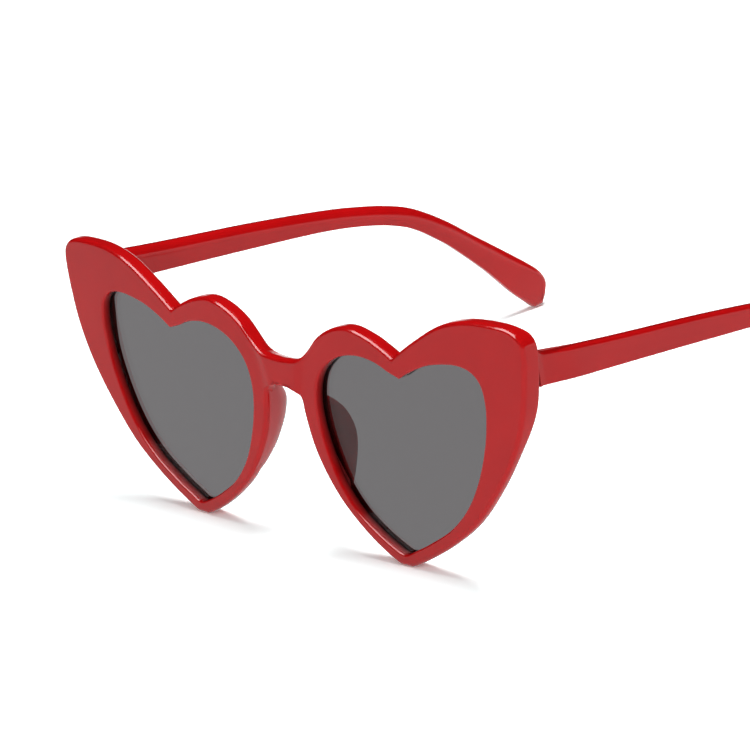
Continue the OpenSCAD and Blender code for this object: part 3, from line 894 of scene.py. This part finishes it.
class SUNGLASSES_OT_hinges(bpy.types.Operator):
    """The metal of the hinge leaves, screws and rivets"""
    bl_idname = "sunglasses.hinges"
    bl_label = "Hinges"

    def execute(self, context):
        colours = context.scene.sunglasses.finish
        nickel = plated_metal("hinge_nickel", colours.nickel, (0.22, 0.34))
        steel = plated_metal("screw_steel", colours.steel, (0.16, 0.26))
        for name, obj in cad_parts.items():
            if "leaf" in name or "screw" in name or "rivets" in name:
                obj.data.materials.clear()
                obj.data.materials.append(nickel if "leaf" in name else steel)
        return {"FINISHED"}


# Studio

# Soft lights: azimuth and elevation in degrees, distance and size in metres, and the kind of
# ray that doesn't meet them
LIGHTS = {
    "key": (180.0, 84.0, 1.2, 0.56, "glossy"),
    "fill": (12.0, 20.0, 1.2, 1.0, "glossy"),
    "side": (80.0, 12.0, 2.4, 1.8, "glossy"),
    "sheen": (-13.0, 48.0, 1.0, 0.72, "diffuse")}
# The photograph's camera: its place, the azimuth, elevation and roll of its view in degrees,
# its lens and sensor in millimetres, and the range that it sees
CAMERA_PLACE = (0.756152, -0.719137, 0.357128)
CAMERA_TURN = (48.424, 17.933, -6.41)
CAMERA_LENS, CAMERA_SENSOR = 230.74, 36.0
CAMERA_RANGE = (0.05, 20.0)
# Half of the floor's width, and the distances from the middle between which the camera sees
# the floor turn to white
FLOOR_REACH = 6.0
FLOOR_FADE = (0.35, 0.9)
# Where the floor's sheen goes over from front to back, and behind from left to right
SHEEN_BACK = (-0.08, 0.08)
SHEEN_ACROSS = (-0.11, -0.04)
# The white wall in reflections: the parts of a direction, upwards and backwards, over which
# it ends above and comes in
WALL_TOP = (0.03, 0.15)
WALL_BACK = (0.0, 0.4)


def aimed(azimuth, elevation, roll=0.0):
    """The turn of a camera or lamp that stands at an azimuth and elevation and looks at the
    middle, and the direction from the middle to it."""
    a, e, r = (math.radians(v) for v in (azimuth, elevation, roll))
    back = np.array([math.sin(a) * math.cos(e), -math.cos(a) * math.cos(e), math.sin(e)])
    right = np.cross((0, 0, 1), back)
    right /= np.linalg.norm(right)
    up = np.cross(back, right)
    right, up = (math.cos(r) * right + math.sin(r) * up, math.cos(r) * up - math.sin(r) * right)
    return Matrix(np.stack([right, up, back], 1).tolist()).to_4x4(), back


def soft_light(name, azimuth, elevation, distance, size, power):
    """A square soft box that is aimed at the middle."""
    lamp = bpy.data.lights.new(name, "AREA")
    lamp.shape, lamp.size, lamp.energy = "SQUARE", size, power
    obj = bpy.data.objects.new(name, lamp)
    turn, back = aimed(azimuth, elevation)
    obj.matrix_world = Matrix.Translation(back * distance) @ turn
    bpy.context.scene.collection.objects.link(obj)
    return obj


class SUNGLASSES_OT_studio(bpy.types.Operator):
    """The pale floor, the soft lights and the camera"""
    bl_idname = "sunglasses.studio"
    bl_label = "Studio"

    def execute(self, context):
        p = context.scene.sunglasses.studio
        self.floor(p)
        self.world(p)
        for name, (azimuth, elevation, distance, size, missed_by) in LIGHTS.items():
            power = getattr(p, name + "_power")
            light = soft_light(name, azimuth, elevation, distance, size, power)
            setattr(light, "visible_" + missed_by, False)
        camera = bpy.data.cameras.new("camera")
        camera.lens, camera.sensor_width = CAMERA_LENS, CAMERA_SENSOR
        camera.clip_start, camera.clip_end = CAMERA_RANGE
        obj = bpy.data.objects.new("camera", camera)
        turn, _ = aimed(*CAMERA_TURN)
        obj.matrix_world = Matrix.Translation(CAMERA_PLACE) @ turn
        context.scene.collection.objects.link(obj)
        context.scene.camera = obj
        context.scene.view_settings.view_transform = "Standard"
        return {"FINISHED"}

    def floor(self, p):
        """A wide pale floor. The camera sees it in a lighter colour, and plain white far
        from the glasses. Through a lens it is an even white light, and in reflections a
        light with one strength in front and, behind, with others left and right."""
        mesh = bpy.data.meshes.new("floor")
        corners = np.array([(-1, -1), (1, -1), (1, 1), (-1, 1)]) * FLOOR_REACH
        mesh.from_pydata([(x, y, -p.floor_drop) for x, y in corners], [], [(0, 1, 2, 3)])
        floor = bpy.data.objects.new("floor", mesh)
        bpy.context.scene.collection.objects.link(floor)
        paint = bpy.data.materials.new("floor_paper")
        paint.use_nodes = True
        tree = paint.node_tree
        tree.nodes.clear()
        rays = node(tree, "ShaderNodeLightPath").outputs
        place = node(tree, "ShaderNodeTexCoord").outputs["Object"]
        split = node(tree, "ShaderNodeSeparateXYZ", {0: place}).outputs
        colour = mixed(tree, "RGBA", rays["Is Camera Ray"], (*p.floor, 1), (*p.seen_floor, 1))
        paper = node(tree, "ShaderNodeBsdfDiffuse", {"Color": colour})
        behind = smooth_ramp(tree, split["X"], SHEEN_ACROSS, (p.far_gloss, p.right_gloss))
        sheen = smooth_ramp(tree, split["Y"], SHEEN_BACK, (p.near_gloss, behind))
        strength = mixed(tree, "FLOAT", rays["Is Transmission Ray"], sheen, 1.0)
        gloss = node(tree, "ShaderNodeEmission", {"Strength": strength})
        lit = maths(tree, "MAXIMUM", rays["Is Glossy Ray"], rays["Is Transmission Ray"])
        near = node(tree, "ShaderNodeMixShader",
                    {"Fac": lit, 1: paper.outputs[0], 2: gloss.outputs[0]})
        reach = node(tree, "ShaderNodeVectorMath", {0: place}, operation="LENGTH")
        away = smooth_ramp(tree, reach.outputs["Value"], FLOOR_FADE, (0.0, 1.0))
        fade = maths(tree, "MULTIPLY", away, rays["Is Camera Ray"])
        white = node(tree, "ShaderNodeEmission")
        seen = node(tree, "ShaderNodeMixShader",
                    {"Fac": fade, 1: near.outputs[0], 2: white.outputs[0]})
        node(tree, "ShaderNodeOutputMaterial", {"Surface": seen.outputs[0]})
        mesh.materials.append(paint)

    def world(self, p):
        """A studio that lends an even soft light. In reflections it is dark but for a white
        wall low down behind the glasses. The camera, and what it sees through the lenses,
        always meets white."""
        world = bpy.data.worlds.new("studio")
        bpy.context.scene.world = world
        world.use_nodes = True
        tree = world.node_tree
        rays = node(tree, "ShaderNodeLightPath").outputs
        place = node(tree, "ShaderNodeTexCoord").outputs["Generated"]
        split = node(tree, "ShaderNodeSeparateXYZ", {0: place}).outputs
        wall = maths(tree, "MULTIPLY", smooth_ramp(tree, split["Z"], WALL_TOP, (1.0, 0.0)),
                     smooth_ramp(tree, split["Y"], WALL_BACK, (0.0, 1.0)))
        gloss = maths(tree, "MAXIMUM", wall, p.dusk)
        light = mixed(tree, "FLOAT", rays["Is Glossy Ray"], p.ambient, gloss)
        seen = maths(tree, "MAXIMUM", rays["Is Camera Ray"], rays["Is Transmission Ray"])
        feed(tree, tree.nodes["Background"],
             {"Color": (1, 1, 1, 1), "Strength": maths(tree, "MAXIMUM", light, seen)})


PIECES = ("front", "lenses", "nose_pads", "temples", "hinges", "studio")


class SUNGLASSES_PT_panel(bpy.types.Panel):
    """The sizes, the finishes and the pieces"""
    bl_label = "Sunglasses"
    bl_idname = "SUNGLASSES_PT_panel"
    bl_space_type = "VIEW_3D"
    bl_region_type = "UI"
    bl_category = "Sunglasses"

    def draw(self, context):
        sunglasses = context.scene.sunglasses
        for group, sizes in SIZES.items():
            box = self.layout.box()
            box.label(text=group.capitalize())
            for name in sizes.__annotations__:
                box.prop(getattr(sunglasses, group), name)
        for name in PIECES:
            self.layout.operator("sunglasses." + name)


CLASSES = (*SIZES.values(), Sunglasses, SUNGLASSES_OT_front, SUNGLASSES_OT_lenses,
           SUNGLASSES_OT_nose_pads, SUNGLASSES_OT_temples, SUNGLASSES_OT_hinges,
           SUNGLASSES_OT_studio, SUNGLASSES_PT_panel)


def register():
    for cls in CLASSES:
        bpy.utils.register_class(cls)
    bpy.types.Scene.sunglasses = PointerProperty(type=Sunglasses)


def unregister():
    del bpy.types.Scene.sunglasses
    for cls in reversed(CLASSES):
        bpy.utils.unregister_class(cls)


def main():
    register()
    for name in PIECES:
        getattr(bpy.ops.sunglasses, name)()


if __name__ == "__main__":
    main()
